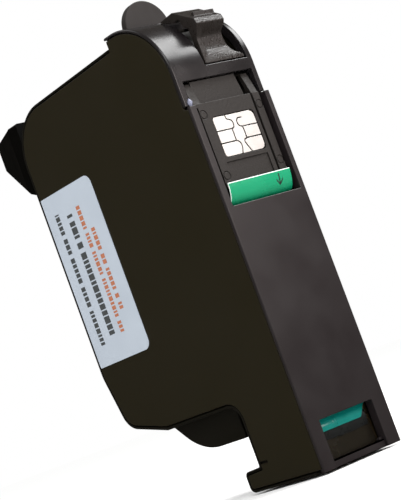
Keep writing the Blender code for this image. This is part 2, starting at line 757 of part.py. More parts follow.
def build():
    moulded = material("moulded_black_abs", (0.022, 0.021, 0.022), 0.42)
    painted = material("painted_steel_black", (0.014, 0.013, 0.009), 0.38)
    pen_plastic = material("glass_filled_black", (0.016, 0.015, 0.012), 0.5)
    carrier_plastic = material("charcoal_abs", (0.035, 0.032, 0.034), 0.55)
    contact = material("nickel_plated_copper", (0.86, 0.85, 0.80), 0.3, 1.0)
    epoxy = material("glass_epoxy", (0.06, 0.08, 0.05), 0.5)
    potting = material("black_epoxy", (0.01, 0.01, 0.01), 0.35)
    green = material("green_polyester_tape", (0.004, 0.33, 0.15), 0.3)
    blue_film = material("blue_pvc_film", (0.05, 0.30, 0.50), 0.2)
    paper = material("coated_label_paper", (0.55, 0.62, 0.70), 0.5)
    soft = material("polyethylene_natural", (0.55, 0.55, 0.52), 0.55)
    film = material("laminated_bag_film", (0.42, 0.42, 0.40), 0.3)
    steel = material("stainless_sheet", (0.55, 0.55, 0.55), 0.3, 1.0)
    silicon = material("silicon", (0.10, 0.10, 0.12), 0.2, 0.6)
    polyimide = material("polyimide_flex", (0.30, 0.14, 0.02), 0.3)
    gold = material("gold_plated_nickel", (0.75, 0.55, 0.22), 0.3, 1.0)

    front_cover(moulded)
    crown(moulded)
    latch(moulded)
    chip_carrier(carrier_plastic)
    chip_substrate(epoxy)
    chip_contacts(contact)
    chip_potting(potting)
    pull_tab(green)
    pull_tape(green)
    nozzle_tape(blue_film)
    label(paper)
    pen_frame(pen_plastic)
    handle(pen_plastic)
    inner_frame(soft)
    bow_spring(steel)
    fill_ball(steel)
    for side in ("left", "right"):
        side_cover(side, painted)
        membrane(side, film)
        piston_plate(side, steel)
        filter_screen(side, steel)
    flex_circuit(polyimide)
    printhead_die(silicon)
    nozzle_plate(gold)
    for end in ("front", "rear"):
        encapsulant(end, potting)


clear_scene()
PIECES = new_collection(COLLECTION)
CUTTERS = new_collection("cutters")
BASE = bpy.data.objects.new("cartridge_front_face", None)
BASE.location = (0.0, FRONT_FACE_Y, 0.0)
PIECES.objects.link(BASE)
build()
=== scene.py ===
"""Looks of the inkjet cartridge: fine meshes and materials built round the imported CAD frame.

Outlines are in millimetres: x across the narrow front, depth back from the front cover's face,
height up from the floor. Every piece is placed from the CAD boxes and rides on its CAD body.
"""

import math
import random

import bmesh
import bpy
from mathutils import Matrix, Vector


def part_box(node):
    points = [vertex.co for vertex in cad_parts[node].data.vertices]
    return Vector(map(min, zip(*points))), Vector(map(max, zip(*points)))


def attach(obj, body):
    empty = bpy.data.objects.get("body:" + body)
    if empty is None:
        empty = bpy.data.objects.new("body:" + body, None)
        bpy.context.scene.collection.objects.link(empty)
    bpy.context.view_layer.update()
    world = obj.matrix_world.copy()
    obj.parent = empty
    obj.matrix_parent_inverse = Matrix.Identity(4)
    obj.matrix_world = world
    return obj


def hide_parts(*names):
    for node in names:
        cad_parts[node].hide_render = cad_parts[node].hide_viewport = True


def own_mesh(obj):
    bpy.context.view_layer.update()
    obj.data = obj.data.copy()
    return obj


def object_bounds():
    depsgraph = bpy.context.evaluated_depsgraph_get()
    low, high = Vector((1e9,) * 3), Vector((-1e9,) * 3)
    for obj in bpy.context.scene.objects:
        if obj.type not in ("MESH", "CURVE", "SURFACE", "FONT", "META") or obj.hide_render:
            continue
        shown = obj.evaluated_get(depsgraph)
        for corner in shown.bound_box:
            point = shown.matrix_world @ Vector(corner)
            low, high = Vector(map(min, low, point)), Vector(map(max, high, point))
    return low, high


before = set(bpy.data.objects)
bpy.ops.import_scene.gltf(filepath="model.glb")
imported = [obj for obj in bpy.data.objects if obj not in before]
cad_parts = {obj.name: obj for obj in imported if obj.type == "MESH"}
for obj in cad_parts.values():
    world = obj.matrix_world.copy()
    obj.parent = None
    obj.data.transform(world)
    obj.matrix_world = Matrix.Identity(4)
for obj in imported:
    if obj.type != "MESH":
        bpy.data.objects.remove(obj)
cad_low, cad_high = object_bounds()

MM = 0.001
FRONT_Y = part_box("front_cover")[0].y
ARC_STEP = math.radians(4)
FLAT_ANGLE = math.radians(0.3)
EDGE_ANGLE = math.radians(40)
SOFT_ANGLE = math.radians(35)
BROKEN_ANGLE = math.radians(80)
WELD_DISTANCE = 1e-7


# Places, read from the CAD


class Span:
    """Where a CAD node lies, in millimetres, with its depth counted from the front cover's face."""

    def __init__(self, node):
        low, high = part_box(node)
        self.left, self.right = low.x / MM, high.x / MM
        self.front, self.rear = (low.y - FRONT_Y) / MM, (high.y - FRONT_Y) / MM
        self.bottom, self.top = low.z / MM, high.z / MM


COVER = Span("front_cover")
CROWN = Span("crown")
LATCH = Span("latch")
CARRIER = Span("chip_carrier")
CHIP = Span("chip_contacts")
PULL_TAB = Span("pull_tab")
PULL_TAPE = Span("pull_tape")
NOZZLE_TAPE = Span("nozzle_tape")
LABEL = Span("label")
FRAME = Span("pen_frame")
HANDLE = Span("handle")
FLEX = Span("flex_circuit")

# Sizes that the CAD boxes don't give

SKIN = 0.6  # lip of the front mouldings round the side covers
LIP_CORNER = 0.12
BODY_HALF = 10.2  # half the width between the side covers
PANEL_TOP = 54.0  # top of the front panel between its rails
RAIL_LEFT = -9.2  # inner faces of the rails
RAIL_RIGHT = 9.6
WINDOW_LEFT = -7.7
WINDOW_RIGHT = 7.2
WINDOW_BOTTOM = 1.4
WINDOW_TOP = 9.7
LIP_SETBACK = 0.7
PEG_RADIUS = 0.45  # pegs at the window's lower corners
PEG_RISE = 0.3
PEG_SPAN = (0.9, 1.9)
DECK_TOP = 96.3
BAR_BOTTOM = 80.3  # cross bar between the latch and the chip's recess
BAR_TOP = 82.8
CROWN_RADIUS = 14.2
CROWN_WALL = 2.0
CROWN_STEPS = 40
SLOT_LEFT = -2.0  # slot that the latch stands in
SLOT_RIGHT = 9.6
SLOT_END = 11.4
TAB_RADIUS = 5.8
TAB_THICK = 1.6
TAB_SETBACK = 0.4
TAB_ROOT = 0.8  # how deep the thumb tab stands in the deck
LATCH_ARM_RIGHT = 6.0
LATCH_FACE = 1.4
LATCH_BACK = 2.8
CARRIER_TOP = 75.3
CARRIER_BACK = 2.3
SEAT_PLAY = 0.15
PIN_RADIUS = 0.95
PIN_CORE = 0.72
PIN_DEPTH = 0.1
HAIRLINE = 0.26  # real ones are near 0.1 mm, too fine to show
TAPE_THICK = 0.12
TAB_CURVE = ((2.2, 54.32), (1.35, 54.75), (0.42, 56.0), (0.38, 58.58))  # depth and height of its poles
TAB_FILM = 0.15
EDGE_FILM = 0.17  # the cut edges stand just proud of the tab's film
BLOCK_LIFT = 0.012  # how far the label's blocks stand off its face
BLOCK_GAP = 0.28
WORD_GAP = 1.0
IN_WORD = 0.82  # share of the gaps that are narrow ones
SPRING_STRIP = 0.3
FLEX_THICK = 0.15
TRACE_COUNT = 14
TRACE_WIDTH = 0.26

# Ends of cutters, clear of the solids they cut

PAST = 1.0
BEHIND_WALL = 3.0
BEHIND_CROWN = 6.0
BELOW_CROWN = 70.0
ABOVE_TAB = 110.0
BEYOND = 20.0


# Meshes


def rounded(corners, closed=True):
    """The points of an outline whose corners (a, b, radius) are turned into arcs."""
    points = []
    for index, (a, b, radius) in enumerate(corners):
        corner = Vector((a, b))
        at_end = not closed and index in (0, len(corners) - 1)
        if radius <= 0 or at_end:
            points.append(corner)
            continue
        before = (Vector(corners[index - 1][:2]) - corner).normalized()
        after = (Vector(corners[(index + 1) % len(corners)][:2]) - corner).normalized()
        half = before.angle(after) / 2
        centre = corner + (before + after).normalized() * (radius / math.sin(half))
        start = corner + before * (radius / math.tan(half)) - centre
        end = corner + after * (radius / math.tan(half)) - centre
        turn = start.angle_signed(end)
        steps = max(2, math.ceil(abs(turn) / ARC_STEP))
        for step in range(steps + 1):
            angle = -turn * step / steps
            cos, sin = math.cos(angle), math.sin(angle)
            points.append(centre + Vector((start.x * cos - start.y * sin, start.x * sin + start.y * cos)))
    return points


def box_outline(low_a, high_a, low_b, high_b, radius=0.0):
    """The corners of a rectangle, all turned to one radius."""
    corners = ((low_a, low_b), (high_a, low_b), (high_a, high_b), (low_a, high_b))
    return [(a, b, radius) for a, b in corners]


def place(view, a, b, along):
    """A point in metres, from an outline's two numbers and the one along the view."""
    x, depth, height = {"side": (along, a, b), "front": (a, along, b), "top": (a, b, along)}[view]
    return Vector((x * MM, FRONT_Y + depth * MM, height * MM))


def shown(name, shape):
    """An object made of a bmesh, in the scene."""
    bmesh.ops.recalc_face_normals(shape, faces=shape.faces)
    mesh = bpy.data.meshes.new(name)
    shape.to_mesh(mesh)
    shape.free()
    obj = bpy.data.objects.new(name, mesh)
    bpy.context.scene.collection.objects.link(obj)
    return obj


def plate(name, view, outline, low, high):
    """An outline of points in millimetres, given thickness from low to high along the view."""
    shape = bmesh.new()
    ends = []
    for along in (low, high):
        ends.append([shape.verts.new(place(view, a, b, along)) for a, b in outline])
    shape.faces.new(ends[0])
    shape.faces.new(list(reversed(ends[1])))
    for index in range(len(outline)):
        after = (index + 1) % len(outline)
        shape.faces.new((ends[0][index], ends[0][after], ends[1][after], ends[1][index]))
    return shown(name, shape)


def brick(left, right, front, rear, bottom, top):
    """A box between two corners, as a shape to cut or join with."""
    return plate("brick", "front", [(left, bottom), (right, bottom), (right, top), (left, top)], front, rear)


def drum(view, a, b, radius, low, high, segments=48):
    """A round bar along the view."""
    turns = [math.tau * step / segments for step in range(segments)]
    ring = [(a + radius * math.cos(turn), b + radius * math.sin(turn)) for turn in turns]
    return plate("drum", view, ring, low, high)


def settled(obj):
    """The object with its modifiers applied and its flat faces whole."""
    modified = obj.evaluated_get(bpy.context.evaluated_depsgraph_get())
    mesh = bpy.data.meshes.new_from_object(modified)
    obj.modifiers.clear()
    obj.data = mesh
    shape = bmesh.new()
    shape.from_mesh(mesh)
    bmesh.ops.remove_doubles(shape, verts=shape.verts, dist=WELD_DISTANCE)
    bmesh.ops.dissolve_limit(shape, angle_limit=FLAT_ANGLE, verts=shape.verts, edges=shape.edges)
    shape.to_mesh(mesh)
    shape.free()
    return obj


def combined(obj, operation, others):
    """The object joined with or cut by the others, which are used up."""
    for other in others:
        modifier = obj.modifiers.new(operation, "BOOLEAN")
        modifier.operation = operation
        modifier.object = other
        modifier.solver = "EXACT"
    settled(obj)
    for other in others:
        bpy.data.objects.remove(other, do_unlink=True)
    return obj


def carved(obj, *cutters):
    return combined(obj, "DIFFERENCE", cutters)


def welded(obj, *others):
    return combined(obj, "UNION", others)


def bent_sheet(name, across, along, spot, thick):
    """A thin sheet: spot(u, v) is the place, in millimetres, of a point of its across by along grid."""
    shape = bmesh.new()
    rows = []
    for v in range(along + 1):
        row = [spot(u / across, v / along) for u in range(across + 1)]
        rows.append([shape.verts.new(place("front", x, height, depth)) for x, depth, height in row])
    for low, high in zip(rows, rows[1:]):
        for u in range(across):
            shape.faces.new((low[u], low[u + 1], high[u + 1], high[u]))
    obj = shown(name, shape)
    skin = obj.modifiers.new("thickness", "SOLIDIFY")
    skin.thickness = thick * MM
    skin.offset = 0.0
    return settled(obj)


def ribbon(corners, width):
    """The outline of a line of that width which runs through the corners (a, b, radius)."""
    path = rounded(corners, closed=False)
    sides = ([], [])
    for index, point in enumerate(path):
        along = path[min(index + 1, len(path) - 1)] - path[max(index - 1, 0)]
        across = Vector((-along.y, along.x)).normalized() * (width / 2)
        sides[0].append(tuple(point + across))
        sides[1].append(tuple(point - across))
    return sides[0] + sides[1][::-1]


def fitted(obj, finish, body, replaced=None, edge=0.0):
    """Gives a made piece its broken edges, its material, its body and the node it stands for."""
    if edge:
        bevel = obj.modifiers.new("broken_edges", "BEVEL")
        bevel.width = edge * MM
        bevel.segments = 3
        bevel.limit_method = "ANGLE"
        bevel.angle_limit = EDGE_ANGLE
        bevel.use_clamp_overlap = False
        bevel.miter_outer = "MITER_ARC"
        even = obj.modifiers.new("even_shading", "WEIGHTED_NORMAL")
        even.keep_sharp = True
    obj.data.materials.append(finish)
    obj.data.shade_smooth()
    obj.data.set_sharp_from_angle(angle=BROKEN_ANGLE if edge else SOFT_ANGLE)
    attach(obj, body)
    if replaced:
        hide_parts(replaced)
    return obj


# Materials

CLOUD_DETAIL = 3.0
GRAIN_DETAIL = 2.0
CLOUD_RANGE = (0.3, 0.7)  # nearly all of the noise lies between these


def linear(code):
    """The linear colour of an sRGB hex value."""
    channels = [int(code[start : start + 2], 16) / 255 for start in (1, 3, 5)]
    return (*[c / 12.92 if c <= 0.04045 else ((c + 0.055) / 1.055) ** 2.4 for c in channels], 1.0)


def add(tree, kind, inputs=None, **settings):
    """One node: its settings, then each input set to a value or linked from a socket."""
    made = tree.nodes.new(kind)
    for name, value in settings.items():
        setattr(made, name, value)
    for name, value in (inputs or {}).items():
        if isinstance(value, bpy.types.NodeSocket):
            tree.links.new(value, made.inputs[name])
        else:
            made.inputs[name].default_value = value
    return made


def noise(tree, where, size, detail):
    """A noise texture whose features are of that size in millimetres."""
    return add(tree, "ShaderNodeTexNoise", {"Vector": where, "Scale": 1 / (size * MM), "Detail": detail})


def new_surface(name, **constants):
    """A material with its shader's constants set, and the shader and object coordinates to build on."""
    material = bpy.data.materials.new(name)
    material.use_nodes = True
    tree = material.node_tree
    shader = tree.nodes["Principled BSDF"]
    for socket, value in constants.items():
        shader.inputs[socket.replace("_", " ")].default_value = value
    where = add(tree, "ShaderNodeTexCoord").outputs["Object"]
    return material, tree, shader, where


def moulded(name, dark, light, cloud, rough, grain, relief, **constants):
    """A moulded or coated surface: clouds of two near colours, a roughness that drifts with them,
    and a fine even grain in relief. Sizes are in millimetres."""
    material, tree, shader, where = new_surface(name, **constants)
    clouds = noise(tree, where, cloud, CLOUD_DETAIL)
    colour = add(
        tree,
        "ShaderNodeMix",
        {"Factor": clouds.outputs["Fac"], "A": linear(dark), "B": linear(light)},
        data_type="RGBA",
    )
    tree.links.new(colour.outputs["Result"], shader.inputs["Base Color"])
    polish = add(
        tree,
        "ShaderNodeMapRange",
        {
            "Value": clouds.outputs["Fac"],
            "From Min": CLOUD_RANGE[0],
            "From Max": CLOUD_RANGE[1],
            "To Min": rough[0],
            "To Max": rough[1],
        },
    )
    tree.links.new(polish.outputs["Result"], shader.inputs["Roughness"])
    grains = noise(tree, where, grain, GRAIN_DETAIL)
    bump = add(
        tree,
        "ShaderNodeBump",
        {"Height": grains.outputs["Fac"], "Strength": 1.0, "Distance": relief * MM},
    )
    tree.links.new(bump.outputs["Normal"], shader.inputs["Normal"])
    return material


# Front adapter


def swept(name, section, path):
    """A section of (x, inset) points carried along a path of (depth, height, inward normal)."""
    shape = bmesh.new()
    rings = []
    for depth, height, normal in path:
        ring = []
        for x, inset in section:
            spot = place("side", depth + normal.x * inset, height + normal.y * inset, x)
            ring.append(shape.verts.new(spot))
        rings.append(ring)
    for first, second in zip(rings, rings[1:]):
        for index in range(len(section)):
            after = (index + 1) % len(section)
            shape.faces.new((first[index], first[after], second[after], second[index]))
    shape.faces.new(rings[0])
    shape.faces.new(list(reversed(rings[-1])))
    return shown(name, shape)


def adapter_section(left, right, wall, corner):
    """Cross-section of the adapter's mouldings: a thin lip round the side covers, and a wall inside it."""
    return rounded(
        [
            (left, 0.0, corner),
            (right, 0.0, corner),
            (right, SKIN, LIP_CORNER),
            (BODY_HALF, SKIN, 0.0),
            (BODY_HALF, wall, 0.0),
            (-BODY_HALF, wall, 0.0),
            (-BODY_HALF, SKIN, 0.0),
            (left, SKIN, LIP_CORNER),
        ]
    )


def front_cover(finish):
    """Cover with a rail up each side above its panel, and the nozzle window at its foot."""
    section = adapter_section(COVER.left, COVER.right, COVER.rear, 0.42)
    cover = plate("front_cover_moulding", "top", section, COVER.bottom, COVER.top)
    upper = brick(RAIL_LEFT, RAIL_RIGHT, -PAST, BEHIND_WALL, PANEL_TOP, COVER.top + 5)
    window_outline = rounded(box_outline(WINDOW_LEFT, WINDOW_RIGHT, WINDOW_BOTTOM, WINDOW_TOP, 0.25))
    window = plate("cut_window", "front", window_outline, -PAST, BEHIND_WALL)
    lip = brick(WINDOW_LEFT, WINDOW_RIGHT, -PAST, LIP_SETBACK, -PAST, WINDOW_BOTTOM + 0.5)
    carved(cover, upper, window, lip)
    peg_places = (WINDOW_LEFT + PEG_RADIUS, WINDOW_RIGHT - PEG_RADIUS)
    pegs = [drum("front", x, WINDOW_BOTTOM + PEG_RISE, PEG_RADIUS, *PEG_SPAN) for x in peg_places]
    welded(cover, *pegs)
    return fitted(cover, finish, "body", replaced="front_cover", edge=0.12)


def crown_path():
    """The crown's outer face, from its foot up over the round corner to the deck's rear end."""
    centre = Vector((CROWN.front + CROWN_RADIUS, DECK_TOP - CROWN_RADIUS))
    path = [(CROWN.front, CROWN.bottom, Vector((1.0, 0.0)))]
    for step in range(CROWN_STEPS + 1):
        angle = math.pi / 2 * step / CROWN_STEPS
        outwards = Vector((-math.cos(angle), math.sin(angle)))
        spot = centre + outwards * CROWN_RADIUS
        path.append((spot.x, spot.y, -outwards))
    path.append((CROWN.rear, DECK_TOP, Vector((0.0, -1.0))))
    return path


def crown(finish):
    """Bent wall over the front top corner, with the latch's slot above its cross bar."""
    section = adapter_section(CROWN.left, CROWN.right, CROWN_WALL, 0.48)
    shell = swept("crown_moulding", section, crown_path())
    slot = brick(SLOT_LEFT, SLOT_RIGHT, -PAST, SLOT_END, BAR_TOP, ABOVE_TAB)
    recess = brick(RAIL_LEFT, RAIL_RIGHT, -PAST, BEHIND_CROWN, BELOW_CROWN, BAR_BOTTOM)
    carved(shell, slot, recess)
    return fitted(shell, finish, "body", replaced="crown", edge=0.12)


def thumb_tab(finish):
    """Round upright disc that stands on the deck's rear end."""
    rear = CROWN.rear - TAB_SETBACK
    foot = DECK_TOP - TAB_ROOT
    corner = TAB_RADIUS * 0.999  # just short of the full radius, so that the two arcs don't meet
    outline = rounded(
        [
            (-TAB_RADIUS, foot, 0.0),
            (TAB_RADIUS, foot, 0.0),
            (TAB_RADIUS, CROWN.top, corner),
            (-TAB_RADIUS, CROWN.top, corner),
        ]
    )
    disc = plate("crown_thumb_tab", "front", outline, rear - TAB_THICK, rear)
    return fitted(disc, finish, "body", edge=0.22)


def rail_highlight_bead(finish):
    """Glossy, uneven bead where the left rail meets the crown. Its pale blue white colour is a painted
    highlight.
    """
    bead = bmesh.new()
    bmesh.ops.create_uvsphere(bead, u_segments=24, v_segments=16, radius=1.0)
    for vertex in bead.verts:
        swell = 1 + 0.25 * math.sin(4 * vertex.co.z + 1.0) + 0.1 * math.sin(11 * vertex.co.z)
        x = RAIL_LEFT - 0.3 + vertex.co.x * 0.4 * swell
        depth = 1.05 + vertex.co.y * 0.5 * swell
        vertex.co = place("front", x, 75.8 + vertex.co.z, depth)
    return fitted(shown("painted_highlight_bead", bead), finish, "body")


def latch(finish):
    """Springy arm, dished below its head. The head slopes up and back, with a ridge and a barbed tail."""
    nose = LATCH.front
    tail = LATCH.rear
    profile = rounded(
        [
            (LATCH_FACE, LATCH.bottom, 0.0),
            (LATCH_FACE, 88.5, 2.0),
            (nose, 91.1, 0.4),
            (0.2, 92.3, 0.3),
            (1.8, 93.3, 0.0),
            (5.8, LATCH.top, 0.4),
            (tail, 95.5, 0.12),
            (tail - 0.1, 95.0, 0.12),
            (6.1, 93.7, 0.12),
            (4.6, 93.9, 0.12),
            (3.9, 91.8, 0.12),
            (LATCH_BACK, 91.2, 0.6),
            (LATCH_BACK, LATCH.bottom, 0.0),
        ]
    )
    arm = plate("latch_moulding", "side", profile, LATCH.left, LATCH_ARM_RIGHT)
    flare_outline = rounded(
        [
            (LATCH_ARM_RIGHT - 1.0, LATCH.bottom, 0.0),
            (LATCH.right, LATCH.bottom, 0.0),
            (LATCH.right, LATCH.bottom + 0.6, 0.2),
            (6.8, 85.0, 2.0),
            (LATCH_ARM_RIGHT - 0.05, 88.5, 0.0),
            (LATCH_ARM_RIGHT - 1.0, 88.5, 0.0),
        ]
    )
    flare = plate("latch_flare", "front", flare_outline, LATCH_FACE + 0.05, LATCH_BACK - 0.05)
    ridge = brick(0.2, LATCH_ARM_RIGHT - 0.2, 1.6, 2.3, 93.0, 94.1)
    dish_outline = rounded(
        [
            (nose - 1.0, 83.5, 0.0),
            (LATCH_FACE - 0.15, 83.5, 0.0),
            (2.3, 86.6, 3.5),
            (2.0, 89.2, 1.4),
            (nose - 0.02, 90.75, 0.0),
            (nose - 1.0, 90.75, 0.0),
        ]
    )
    dish = plate("cut_dish", "side", dish_outline, LATCH.left + 1.45, LATCH.right + PAST)
    under_ridge = brick(0.9, 5.1, 0.9, 1.5, 92.75, 94.0)
    welded(arm, flare)
    carved(arm, dish)
    welded(arm, ridge)
    carved(arm, under_ridge)
    return fitted(arm, finish, "latch", replaced="latch", edge=0.1)


# Chip carrier


def pin_mark(x, height, face):
    """Ring left by an ejector pin, as a shape to cut with."""
    outer = drum("front", x, height, PIN_RADIUS, face - 0.5, face + PIN_DEPTH)
    core = drum("front", x, height, PIN_CORE, face - 1.0, face + 0.6)
    return carved(outer, core)


def chip_carrier(finish):
    """Plate with the chip's seat and a slot beside it, two legs and a shelf above, and pin marks."""
    left, right, face = CARRIER.left, CARRIER.right, CARRIER.front
    body_outline = rounded(box_outline(left, right, CARRIER.bottom, CARRIER_TOP, 0.2))
    body = plate("chip_carrier_moulding", "front", body_outline, face, CARRIER_BACK)
    leg_profile = rounded(
        [
            (face + 0.02, 73.0, 0.0),
            (face + 0.02, 74.5, 3.0),
            (2.4, CARRIER.top, 0.0),
            (CARRIER.rear, CARRIER.top, 0.0),
            (2.0, 74.5, 3.0),
            (2.0, 73.0, 0.0),
        ]
    )
    left_leg = plate("left_leg", "side", leg_profile, left + 0.02, -6.8)
    right_leg = plate("right_leg", "side", leg_profile, 7.0, right - 0.02)
    shelf_outline = [(-6.9, 74.9), (6.1, 74.9), (5.2, 80.2), (-6.9, 80.2)]
    shelf = plate("shelf", "front", shelf_outline, 2.1, 2.9)
    slot = brick(6.4, 6.9, -PAST, 1.7, 50.0, 79.0)
    across = (CHIP.left - SEAT_PLAY, CHIP.right + SEAT_PLAY)
    upwards = (CHIP.bottom - SEAT_PLAY, CHIP.top + SEAT_PLAY)
    seat = plate("cut_seat", "front", rounded(box_outline(*across, *upwards, 0.9)), -PAST, 1.5)
    well = brick(-2.8, 2.8, -PAST, 2.1, 65.2, 70.5)
    pocket = brick(-6.0, 5.3, -PAST, face + 0.3, 56.0, 62.7)
    edge_step = brick(left - 0.5, left + 0.65, -PAST, face + 0.8, 56.0, 74.4)
    welded(body, left_leg, right_leg, shelf)
    carved(body, slot, seat, well, pocket, edge_step)
    mark_places = ((-7.3, 72.9), (-7.1, 60.1), (7.95, 72.7), (7.95, 60.7))
    carved(body, *[pin_mark(x, height, face) for x, height in mark_places])
    return fitted(body, finish, "body", replaced="chip_carrier", edge=0.08)


def chip_contacts(finish):
    """Contact foil parted into its contacts by etched hairlines, in the smart-card pattern."""
    left, right, bottom, top = CHIP.left, CHIP.right, CHIP.bottom, CHIP.top
    outline = rounded([(left, bottom, 0.6), (right, bottom, 1.2), (right, top, 1.2), (left, top, 0.5)])
    foil = plate("chip_contact_foil", "front", outline, CHIP.front, CHIP.rear)
    hairlines = [
        # between the left contacts and the middle one
        [(-2.1, top + 0.3, 0), (-2.05, 71.15, 0.6), (-0.6, 70.7, 0.9), (-0.65, 69.35, 0.6),
         (-1.43, 69.0, 0.2), (-1.43, 66.5, 0.3), (-0.5, 66.1, 0.8), (-0.5, 64.9, 0.9),
         (-1.1, bottom - 0.3, 0)],
        # between the middle contact and the right ones
        [(2.1, 70.85, 0), (0.45, 71.0, 0.75), (0.45, 69.2, 0.9), (1.5, 69.05, 0.2),
         (1.5, 66.6, 0.3), (0.5, 66.3, 0.5), (0.9, 65.2, 0.9), (1.8, bottom - 0.3, 0)],
        # across, between the upper, middle and lower contacts of each side
        [(left - 0.3, 69.05, 0), (-1.4, 69.05, 0)],
        [(left - 0.3, 66.5, 0), (-1.4, 66.5, 0)],
        [(1.45, 69.05, 0), (right + 0.3, 69.05, 0)],
        [(1.45, 66.6, 0), (right + 0.3, 66.6, 0)],
    ]
    for corners in hairlines:
        line = ribbon(corners, HAIRLINE)
        carved(foil, plate("cut_hairline", "front", line, CHIP.front - 0.3, CHIP.rear + 0.05))
    return fitted(foil, finish, "body", replaced="chip_contacts", edge=0.03)


# Tapes and label


def tab_spot(share, x):
    """A point on the green tab: share 0 at the slot and 1 at its free end."""
    near = 1 - share
    weights = (near**3, 3 * near**2 * share, 3 * near * share**2, share**3)
    depth = sum(w * p[0] for w, p in zip(weights, TAB_CURVE))
    height = sum(w * p[1] for w, p in zip(weights, TAB_CURVE))
    return x, depth, height


def pull_tab(green, core):
    """Tab film, with pale strips where its free end and its left side are cut."""
    width = PULL_TAB.right - PULL_TAB.left

    def film(u, v):
        return tab_spot(v, PULL_TAB.left + u * width)

    def end(u, v):
        return tab_spot(0.982 + 0.022 * v, PULL_TAB.left + u * width)

    def side(u, v):
        return tab_spot(v, PULL_TAB.left + 0.1 * u - 0.01)

    tab = bent_sheet("pull_tab_film", 24, 24, film, TAB_FILM)
    fitted(tab, green, "pull_tab", replaced="pull_tab")
    cut_edge = bent_sheet("pull_tab_cut_edge", 24, 2, end, EDGE_FILM)
    fitted(cut_edge, core, "pull_tab")
    cut_side = bent_sheet("pull_tab_cut_side", 1, 24, side, EDGE_FILM)
    fitted(cut_side, core, "pull_tab")


def tab_arrow(ink):
    """Generic arrow printed on the tab. It points to the slot."""

    def stroke(name, start, end, width):
        run = Vector(end) - Vector(start)
        across = Vector((-run.y, run.x)).normalized() * width

        def spot(u, v):
            point = Vector(start) + run * v + across * (u - 0.5)
            x, depth, height = tab_spot(point.y, point.x)
            return x, depth - 0.085, height

        mark = bent_sheet(name, 1, 10, spot, 0.02)
        fitted(mark, ink, "pull_tab")

    stroke("pull_arrow_shaft", (5.4, 0.93), (5.4, 0.54), 0.3)
    stroke("pull_arrow_left", (4.55, 0.74), (5.42, 0.54), 0.08)
    stroke("pull_arrow_right", (6.25, 0.74), (5.38, 0.54), 0.08)


def pull_tape(green):
    """Tape behind the cover. Its lower end springs forward into the window, with one crease."""
    height = PULL_TAPE.top - PULL_TAPE.bottom

    def spot(u, v):
        z = PULL_TAPE.bottom + height * v**2.2
        inside = max(0.0, min(1.0, (WINDOW_TOP - 0.1 - z) / (WINDOW_TOP - PULL_TAPE.bottom)))
        right = PULL_TAPE.right - 3.2 * inside**0.5 if inside > 0 else PULL_TAPE.right
        x = PULL_TAPE.left + (right - PULL_TAPE.left) * u
        edge = max(0.0, min(1.0, (x - WINDOW_LEFT) / 1.2))
        bulge = 0.75 * math.sin(inside * math.pi * 0.75) * edge
        crease = 0.3 * math.exp(-(((x + 2.7) / 0.26) ** 2)) * min(1.0, inside * 4)
        return x, PULL_TAPE.front + 0.07 - bulge - crease, z

    tape = bent_sheet("pull_tape_film", 90, 60, spot, TAPE_THICK)
    return fitted(tape, green, "body", replaced="pull_tape")


def nozzle_tape(clear, milky):
    """Film bent under the snout over the nozzles, and its stretched tail below the green tape."""
    profile = rounded(
        [
            (NOZZLE_TAPE.front + TAPE_THICK, NOZZLE_TAPE.top, 0.0),
            (NOZZLE_TAPE.front, NOZZLE_TAPE.top, 0.0),
            (NOZZLE_TAPE.front, NOZZLE_TAPE.bottom, 0.35),
            (NOZZLE_TAPE.rear, NOZZLE_TAPE.bottom, 0.0),
            (NOZZLE_TAPE.rear, NOZZLE_TAPE.bottom + TAPE_THICK, 0.0),
            (NOZZLE_TAPE.front + TAPE_THICK, NOZZLE_TAPE.bottom + TAPE_THICK, 0.2),
        ]
    )
    film = plate("nozzle_tape_film", "side", profile, NOZZLE_TAPE.left, NOZZLE_TAPE.right)
    fitted(film, clear, "body", replaced="nozzle_tape")

    def tail_spot(u, v):
        x = NOZZLE_TAPE.left + (NOZZLE_TAPE.right - NOZZLE_TAPE.left - 0.9) * u
        sag = 0.12 * math.sin(u * math.pi * 2.3 + 0.6)
        return x, NOZZLE_TAPE.front - 0.2 - 0.25 * math.sin(v * math.pi) - 0.05 * sag, 5.3 + sag + 2.6 * v

    tail = bent_sheet("nozzle_tape_tail", 40, 12, tail_spot, 0.08)
    return fitted(tail, milky, "body")


def label(paper, dark, orange):
    """Paper label. Its four printed lines are plain blocks, running up the label."""
    outline = rounded(
        [
            (LABEL.front, LABEL.bottom, 2.0),
            (LABEL.rear, LABEL.bottom, 0.3),
            (LABEL.rear, LABEL.top, 0.3),
            (LABEL.front, LABEL.top, 2.0),
        ]
    )
    sheet = plate("label_paper", "side", outline, LABEL.left, LABEL.right)
    fitted(sheet, paper, "body", replaced="label", edge=0.02)
    random.seed(4)
    lines = (
        # name, ink, depth, lower end, upper end, height of a block, mean length of a block
        ("reference", dark, 52.8, 39.5, 69.5, 1.5, 0.75),
        ("title", dark, 48.4, 40.8, 68.2, 2.0, 1.05),
        ("note_upper", orange, 44.7, 40.5, 69.0, 1.35, 0.65),
        ("note_lower", orange, 42.2, 45.0, 63.5, 1.35, 0.65),
    )
    for name, ink, depth, low, high, tall, mean in lines:
        shape = bmesh.new()
        height = low
        while height < high:
            long = mean * random.uniform(0.6, 1.5)
            end = min(height + long, high)
            near, far = depth - tall / 2, depth + tall / 2
            corners = [(near, height), (far, height), (far, end), (near, end)]
            spots = [place("side", a, b, LABEL.left - BLOCK_LIFT) for a, b in corners]
            shape.faces.new([shape.verts.new(spot) for spot in spots])
            gap = BLOCK_GAP if random.random() < IN_WORD else WORD_GAP
            height = end + gap
        blocks = shown(f"label_blocks_{name}", shape)
        skin = blocks.modifiers.new("ink_film", "SOLIDIFY")
        skin.thickness = 0.008 * MM
        settled(blocks)
        fitted(blocks, ink, "body")


# Pen body


